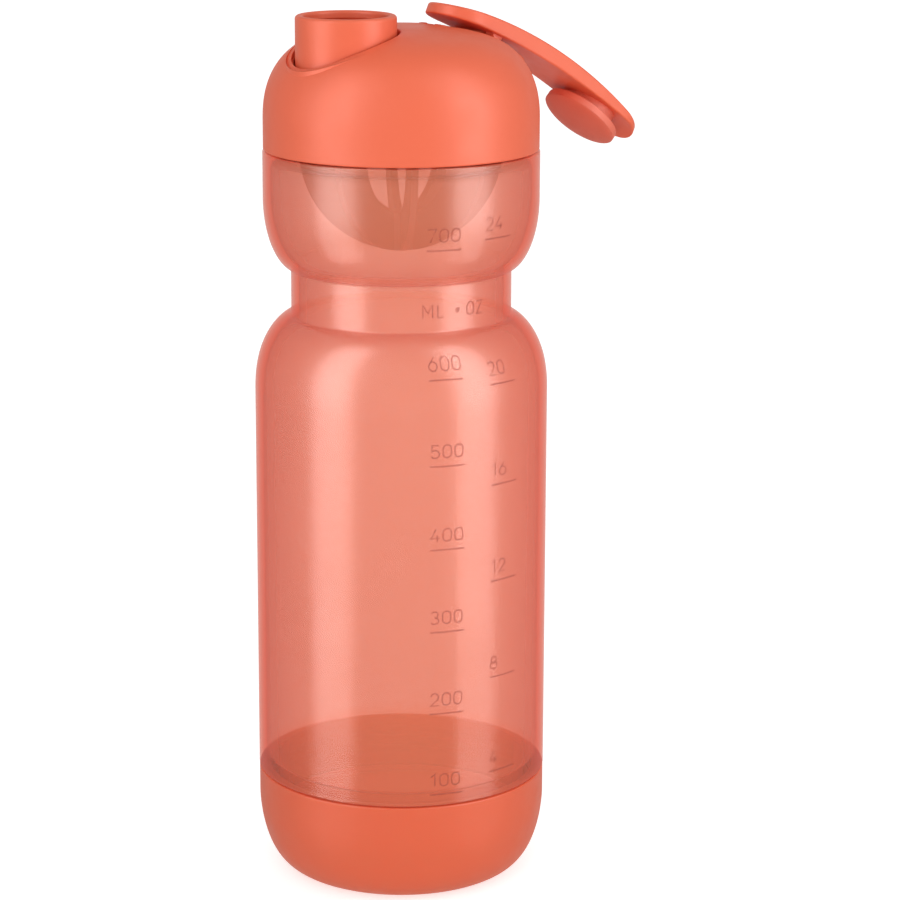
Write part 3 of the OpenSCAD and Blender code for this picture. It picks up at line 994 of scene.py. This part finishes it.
def frosted_plastic(colours):
    """Frosted translucent wall: partly clear, tinted inside, with painted shade that deepens its colour
    where it is seen edge-on, and a faint painted glow.
    """
    # Painted glow: a faint coral emission stands in for light scattered inside the wall.
    material = moulded_finish("frosted_wall", colours.wall, colours.wall_deep, 0.29, colours.grain * 5,
                              bump=0.02, variation=0.02, patch=0.08, amount=0.3,
                              settings={"Alpha": 0.42, "Specular IOR Level": 0.8,
                                        "Emission Color": (1.0, 0.26, 0.12, 1.0),
                                        "Emission Strength": 0.02})
    tree = material.node_tree
    shader = tree.nodes["Principled BSDF"]
    plain = shader.inputs["Base Color"].links[0].from_socket
    # Painted shade: the Layer Weight facing mixes the colour towards the deep edge-on tone, darkening the
    # wall towards its outline.
    edge_shade_weight = tree.nodes.new("ShaderNodeLayerWeight")
    edge_shade_weight.inputs["Blend"].default_value = 0.45
    mix = tree.nodes.new("ShaderNodeMix")
    mix.data_type = "RGBA"
    mix.inputs[7].default_value = (*colours.wall_edge_shade, 1)
    tree.links.new(edge_shade_weight.outputs["Facing"], mix.inputs["Factor"])
    tree.links.new(plain, mix.inputs[6])
    tree.links.new(mix.outputs[2], shader.inputs["Base Color"])
    tint = tree.nodes.new("ShaderNodeVolumeAbsorption")
    tint.inputs["Color"].default_value = (0.94, 0.25, 0.06, 1)
    tint.inputs["Density"].default_value = 95
    tree.links.new(tint.outputs["Volume"], tree.nodes["Material Output"].inputs["Volume"])
    return material


def scale_ink(colours):
    """Thin printed ink of the volume scale."""
    deep = [value * 0.8 for value in colours.ink]
    return moulded_finish("scale_ink", colours.ink, deep, 0.5, colours.grain * 0.6, patch=0.004,
                          settings={"Alpha": 0.28})


def silicone(colours):
    """Soft matt silicone of the stopper and the seals."""
    deep = [value * 0.85 for value in colours.silicone]
    return moulded_finish("soft_silicone", colours.silicone, deep, 0.6, colours.grain * 0.7, bump=0.1,
                          settings={"Specular IOR Level": 0.3})


def mixer_painted_shade(colours):
    """Duller moulding of the mixer that hangs inside the neck; its dark grey colour is painted shade, for
    fins that sit in shadow behind the wall.
    """
    deep = [value * 0.8 for value in colours.mixer]
    return moulded_finish("mixer_painted_shade", colours.mixer, deep, 0.5, colours.grain * 1.5)


def pin_steel(colours):
    """Drawn steel of the hinge pin and the retaining clip."""
    return moulded_finish("drawn_steel", (0.62, 0.62, 0.64), (0.50, 0.50, 0.52), 0.3,
                          colours.grain, patch=0.005, stretch=(1, 0.15, 1), settings={"Metallic": 1.0})


def pale_floor():
    """Plain pale floor with a faint unevenness."""
    return moulded_finish("pale_floor", (0.80, 0.80, 0.80), (0.77, 0.77, 0.77), 0.8, 0.004,
                          bump=0.02, patch=0.5,
                          settings={"Specular IOR Level": 0.1, "Emission Color": (1, 1, 1, 1),
                                    "Emission Strength": 0.6})


def dress_node(node, material):
    """Give a CAD node that stays in view its finish."""
    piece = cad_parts[node]
    if not piece.material_slots:
        piece.data.materials.append(material)
    for slot in piece.material_slots:
        slot.material = material


# ---------------------------------------------------------------- stage


def soft_box(name, azimuth, distance, height, width, tall, power, aim, gloss_only=False):
    """Area light on a circle round the bottle, turned to face a height on its axis.

    A gloss light shows only as a highlight, and any other lights the matt surfaces.
    """
    data = bpy.data.lights.new(name, "AREA")
    data.shape = "RECTANGLE"
    data.size = width
    data.size_y = tall
    data.energy = power
    lamp = bpy.data.objects.new(name, data)
    lamp.visible_camera = False
    lamp.visible_diffuse = not gloss_only
    lamp.visible_transmission = not gloss_only
    lamp.visible_glossy = gloss_only
    bpy.context.scene.collection.objects.link(lamp)
    turn = math.radians(azimuth)
    lamp.location = (distance * math.cos(turn), distance * math.sin(turn), height)
    pitch = math.atan2(height - aim, distance)
    lamp.rotation_euler = (math.pi / 2 - pitch, 0, turn + math.pi / 2)
    return lamp


def build_stage():
    """Pale floor, bright surround, soft boxes and camera.

    Two tall boxes beside the camera only make highlights. A high, a side and a low box light
    the matt surfaces.
    """
    scene = bpy.context.scene
    span = np.linspace(-8000, 8000, 9)
    x, y = np.meshgrid(span, span, indexing="ij")
    mesh = bpy.data.meshes.new("studio_floor")
    points = np.stack([x, y, np.zeros_like(x)], axis=-1).reshape(-1, 3) * MM
    mesh.from_pydata(points.tolist(), [], grid_faces(9, 9, False, False)[:, ::-1].tolist())
    mesh.materials.append(pale_floor())
    floor = bpy.data.objects.new("studio_floor", mesh)
    scene.collection.objects.link(floor)
    floor.visible_diffuse = False
    floor.visible_glossy = False
    if mesh.polygons[0].normal.z < 0:
        mesh.flip_normals()

    surround = bpy.data.worlds.new("studio_surround")
    surround.use_nodes = True
    surround.node_tree.nodes["Background"].inputs["Color"].default_value = (1, 1, 1, 1)
    surround.node_tree.nodes["Background"].inputs["Strength"].default_value = 0.64
    scene.world = surround

    view = math.degrees(math.atan2(-0.6479, -0.4811))
    soft_box("left_gloss", view - 55, 0.6, 0.45, 0.36, 1.7, 16.0, 0.45, gloss_only=True)
    soft_box("right_gloss", view + 60, 0.6, 0.45, 0.36, 1.7, 16.0, 0.45, gloss_only=True)
    soft_box("key_box", view - 10, 0.9, 0.60, 0.7, 0.7, 2.2, 0.13)
    soft_box("fill_box", view + 75, 0.9, 0.40, 0.7, 0.9, 1.6, 0.13)
    soft_box("low_box", view + 5, 0.7, 0.08, 0.6, 0.14, 1.3, 0.20)

    data = bpy.data.cameras.new("camera")
    data.sensor_width = 36
    data.lens = 122.15
    data.shift_x = 0.0542
    data.clip_end = 50
    camera = bpy.data.objects.new("camera", data)
    camera.location = (-0.4811, -0.6479, 0.3183)
    camera.rotation_euler = (math.pi / 2 - 0.2433, 0, -math.atan2(0.4811, 0.6479))
    scene.collection.objects.link(camera)
    scene.camera = camera
    scene.view_settings.view_transform = "Standard"


# ---------------------------------------------------------------- operators


def pivot_height(sizes):
    """Height of the swivel frame's origin on the dome."""
    return float(dome_height(sizes.lid_radius / MM, PIVOT_X))


class BOTTLE_OT_base_cup(bpy.types.Operator):
    """Build the screw-on base cup"""
    bl_idname = "bottle.base_cup"
    bl_label = "Base cup"

    def execute(self, context):
        build_base_cup(context.scene.bottle_sizes, cup_plastic(context.scene.bottle_colours))
        return {"FINISHED"}


class BOTTLE_OT_body(bpy.types.Operator):
    """Build the frosted wall with its two threaded necks"""
    bl_idname = "bottle.body"
    bl_label = "Bottle wall"

    def execute(self, context):
        build_body(context.scene.bottle_sizes, frosted_plastic(context.scene.bottle_colours))
        return {"FINISHED"}


class BOTTLE_OT_scale(bpy.types.Operator):
    """Print the volume scale on the wall"""
    bl_idname = "bottle.scale"
    bl_label = "Volume scale"

    def execute(self, context):
        build_scale(context.scene.bottle_sizes, scale_ink(context.scene.bottle_colours))
        return {"FINISHED"}


class BOTTLE_OT_lid(bpy.types.Operator):
    """Build the lid: spout, roof and skirt, and the dome over them"""
    bl_idname = "bottle.lid"
    bl_label = "Lid"

    def execute(self, context):
        material = coral_plastic(context.scene.bottle_colours)
        build_lid_core(context.scene.bottle_sizes, material)
        build_dome(context.scene.bottle_sizes, material)
        return {"FINISHED"}


class BOTTLE_OT_arm(bpy.types.Operator):
    """Build the closure arm and its soft stopper"""
    bl_idname = "bottle.arm"
    bl_label = "Closure arm"

    def execute(self, context):
        sizes = context.scene.bottle_sizes
        colours = context.scene.bottle_colours
        build_arm(sizes, coral_plastic(colours), pivot_height(sizes))
        build_stopper(sizes, silicone(colours), pivot_height(sizes))
        return {"FINISHED"}


class BOTTLE_OT_inner_parts(bpy.types.Operator):
    """Give the mixer, hub, clip, pin, stopper core and seals their finishes"""
    bl_idname = "bottle.inner_parts"
    bl_label = "Inner parts"

    def execute(self, context):
        colours = context.scene.bottle_colours
        dress_node("mixer", mixer_painted_shade(colours))
        for node in ("pivot_hub", "stopper_core"):
            dress_node(node, coral_plastic(colours))
        for node in ("base_seal", "lid_seal"):
            dress_node(node, silicone(colours))
        for node in ("hub_clip", "hinge_pin"):
            dress_node(node, pin_steel(colours))
        return {"FINISHED"}


class BOTTLE_OT_stage(bpy.types.Operator):
    """Set up the floor, the soft light and the camera"""
    bl_idname = "bottle.stage"
    bl_label = "Studio stage"

    def execute(self, context):
        build_stage()
        return {"FINISHED"}


class BOTTLE_PT_panel(bpy.types.Panel):
    """Sidebar panel with the bottle's sizes, colours and pieces"""
    bl_label = "Drinking Bottle"
    bl_idname = "BOTTLE_PT_panel"
    bl_space_type = "VIEW_3D"
    bl_region_type = "UI"
    bl_category = "Bottle"

    def draw(self, context):
        for group in (context.scene.bottle_sizes, context.scene.bottle_colours):
            column = self.layout.column()
            for name in group.__annotations__:
                column.prop(group, name)
        column = self.layout.column()
        for operator in OPERATORS:
            column.operator(operator.bl_idname)


OPERATORS = (BOTTLE_OT_base_cup, BOTTLE_OT_body, BOTTLE_OT_scale, BOTTLE_OT_lid, BOTTLE_OT_arm,
             BOTTLE_OT_inner_parts, BOTTLE_OT_stage)
CLASSES = (BottleSizes, BottleColours) + OPERATORS + (BOTTLE_PT_panel,)


def register():
    """Register the classes and give the scene its bottle settings."""
    for item in CLASSES:
        bpy.utils.register_class(item)
    bpy.types.Scene.bottle_sizes = bpy.props.PointerProperty(type=BottleSizes)
    bpy.types.Scene.bottle_colours = bpy.props.PointerProperty(type=BottleColours)


def unregister():
    """Take the settings and the classes away again."""
    del bpy.types.Scene.bottle_colours
    del bpy.types.Scene.bottle_sizes
    for item in reversed(CLASSES):
        bpy.utils.unregister_class(item)


def main():
    """Build every piece in order."""
    register()
    bpy.ops.bottle.base_cup()
    bpy.ops.bottle.body()
    bpy.ops.bottle.scale()
    bpy.ops.bottle.lid()
    bpy.ops.bottle.arm()
    bpy.ops.bottle.inner_parts()
    bpy.ops.bottle.stage()


if __name__ == "__main__":
    main()
